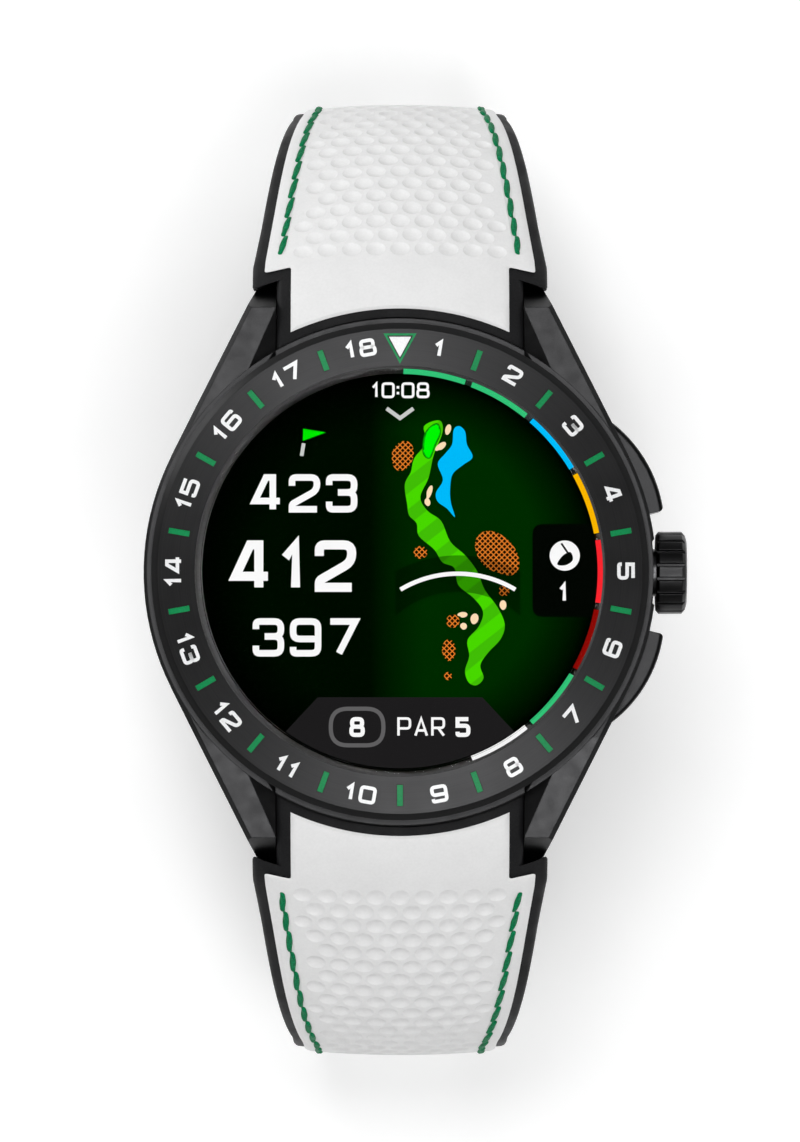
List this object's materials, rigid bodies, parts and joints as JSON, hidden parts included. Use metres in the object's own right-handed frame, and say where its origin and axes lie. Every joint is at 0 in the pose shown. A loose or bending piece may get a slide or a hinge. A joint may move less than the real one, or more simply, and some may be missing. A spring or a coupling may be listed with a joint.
{
  "type": "golf gps watch",
  "caption": "Round golf GPS wristwatch with a numbered bezel, a colour display, a crown, side pushers and a stitched rubber strap on a folding clasp.",
  "frame": {"origin": "centre of the display's axis on the flat outer face of the clasp cover, which the closed watch stands on", "axes": "+Z out of the dial, +Y to twelve o'clock along the strap, +X to the crown"},
  "size_m": [0.0477, 0.087, 0.0615],
  "materials": {
    "case_black": "satin black coating on steel",
    "bezel_black": "fine turned satin, black",
    "lacquer_green": "green lacquer",
    "lacquer_white": "white lacquer, as on the bezel's numerals",
    "crystal_glass": "polished sapphire",
    "display_black": "black display panel",
    "gasket_black": "matte",
    "frame_plastic": "moulded",
    "board_green": "solder mask",
    "chip_black": "moulded",
    "battery_foil": "foil",
    "steel_plain": "satin",
    "steel_black": "satin black coating on steel",
    "sensor_dark": "dark polished window",
    "led_white": "clear",
    "contact_gold": "gold plated",
    "strap_black": "matte",
    "strap_white": "dimpled white"
  },
  "bodies": {
    "case": {"case_middle": "case_black", "bezel_ring": "bezel_black", "bezel_ticks": "lacquer_green", "bezel_marker": "lacquer_white", "crystal": "crystal_glass", "case_back": "case_black", "sensor_window": "sensor_dark", "case_back_screws": "steel_black", "charging_contacts": "contact_gold", "crown_tube": "steel_black", "strap_upper_root_base": "strap_black", "strap_upper_root_pad": "strap_white", "strap_lower_root_base": "strap_black", "strap_lower_root_pad": "strap_white", "spring_bar_upper": "steel_plain", "spring_bar_lower": "steel_plain", "crystal_gasket": "gasket_black", "antenna_ring": "frame_plastic", "display_panel": "display_black", "display_frame": "frame_plastic", "movement_holder": "frame_plastic", "main_board": "board_green", "board_chips": "chip_black", "battery": "battery_foil", "vibration_motor": "steel_plain", "tact_switches": "steel_plain", "case_back_gasket": "gasket_black", "sensor_board": "board_green", "sensor_leds": "led_white"},
    "crown_slide": {"crown_clip": "steel_plain"},
    "crown": {"crown_knob": "case_black", "crown_stem": "steel_black", "crown_gaskets": "gasket_black"},
    "pusher_upper": {"pusher_upper_cap": "case_black", "pusher_upper_stem": "steel_plain", "pusher_upper_gasket": "gasket_black", "pusher_upper_clip": "steel_plain"},
    "pusher_lower": {"pusher_lower_cap": "case_black", "pusher_lower_stem": "steel_plain", "pusher_lower_gasket": "gasket_black", "pusher_lower_clip": "steel_plain"},
    "strap_upper": {"strap_upper_tail_base": "strap_black", "strap_upper_tail_pad": "strap_white", "clasp_end_bar": "steel_plain"},
    "strap_lower": {"strap_lower_tail_base": "strap_black", "strap_lower_tail_pad": "strap_white", "clasp_cover": "steel_black", "strap_peg": "steel_plain", "clasp_fold_pin": "steel_plain"},
    "blade_inner": {"clasp_blade_inner": "steel_black", "clasp_knee_pin": "steel_plain"},
    "blade_outer": {"clasp_blade_outer": "steel_black"},
    "button_left": {"clasp_button_left": "steel_black"},
    "button_right": {"clasp_button_right": "steel_black"},
    "tip_upper_left": {"bar_tip_upper_left": "steel_plain"},
    "tip_upper_right": {"bar_tip_upper_right": "steel_plain"},
    "tip_lower_left": {"bar_tip_lower_left": "steel_plain"},
    "tip_lower_right": {"bar_tip_lower_right": "steel_plain"}
  },
  "joints": [
    {"name": "crown_press", "type": "slide", "parent": "case", "child": "crown_slide", "axis": [-1, 0, 0], "range_m": [0, 0.0004], "stiffness_N_per_m": 2000, "springref_m": -0.0003},
    {"name": "crown_turn", "type": "hinge", "parent": "crown_slide", "child": "crown", "pos_m": [0.0235, 0, 0.0541], "axis": [1, 0, 0], "continuous": true},
    {"name": "pusher_upper_press", "type": "slide", "parent": "case", "child": "pusher_upper", "axis": [-0.9026, -0.4305, 0], "range_m": [0, 0.0005], "stiffness_N_per_m": 2000, "springref_m": -0.0003},
    {"name": "pusher_lower_press", "type": "slide", "parent": "case", "child": "pusher_lower", "axis": [-0.9026, 0.4305, 0], "range_m": [0, 0.0005], "stiffness_N_per_m": 2000, "springref_m": -0.0003},
    {"name": "strap_lower_flex", "type": "hinge", "parent": "case", "child": "strap_lower", "pos_m": [0, -0.0435, 0.02546], "axis": [-1, 0, 0], "range_deg": [0, 36], "stiffness_Nm_per_rad": 0.02, "springref_deg": -17.19},
    {"name": "strap_upper_flex", "type": "hinge", "parent": "case", "child": "strap_upper", "pos_m": [0, 0.0435, 0.02546], "axis": [1, 0, 0], "range_deg": [0, 7.5], "stiffness_Nm_per_rad": 0.02, "springref_deg": -17.19},
    {"name": "clasp_unfold", "type": "hinge", "parent": "strap_lower", "child": "blade_inner", "pos_m": [0, 0.0136, 0.0037], "axis": [-1, 0, 0], "range_deg": [0, 48.83]},
    {"name": "clasp_knee", "type": "hinge", "parent": "blade_inner", "child": "blade_outer", "pos_m": [0, -0.015, 0.00465], "axis": [1, 0, 0], "range_deg": [0, 82.84]},
    {"name": "clasp_button_left_press", "type": "slide", "parent": "strap_lower", "child": "button_left", "axis": [1, 0, 0], "range_m": [0, 0.0007], "stiffness_N_per_m": 1000, "springref_m": -0.0005},
    {"name": "clasp_button_right_press", "type": "slide", "parent": "strap_lower", "child": "button_right", "axis": [-1, 0, 0], "range_m": [0, 0.0007], "stiffness_N_per_m": 1000, "springref_m": -0.0005},
    {"name": "bar_tip_upper_left_retract", "type": "slide", "parent": "case", "child": "tip_upper_left", "axis": [1, 0, 0], "range_m": [0, 0.001], "stiffness_N_per_m": 500, "springref_m": -0.001},
    {"name": "bar_tip_upper_right_retract", "type": "slide", "parent": "case", "child": "tip_upper_right", "axis": [-1, 0, 0], "range_m": [0, 0.001], "stiffness_N_per_m": 500, "springref_m": -0.001},
    {"name": "bar_tip_lower_left_retract", "type": "slide", "parent": "case", "child": "tip_lower_left", "axis": [1, 0, 0], "range_m": [0, 0.001], "stiffness_N_per_m": 500, "springref_m": -0.001},
    {"name": "bar_tip_lower_right_retract", "type": "slide", "parent": "case", "child": "tip_lower_right", "axis": [-1, 0, 0], "range_m": [0, 0.001], "stiffness_N_per_m": 500, "springref_m": -0.001}
  ],
  "couplings": [
    {"joint": "clasp_knee", "follows": "clasp_unfold", "ratio": 1.6964},
    {"joint": "strap_lower_flex", "follows": "clasp_unfold", "ratio": 0.73725},
    {"joint": "strap_upper_flex", "follows": "clasp_unfold", "ratio": 0.15359}
  ]
}
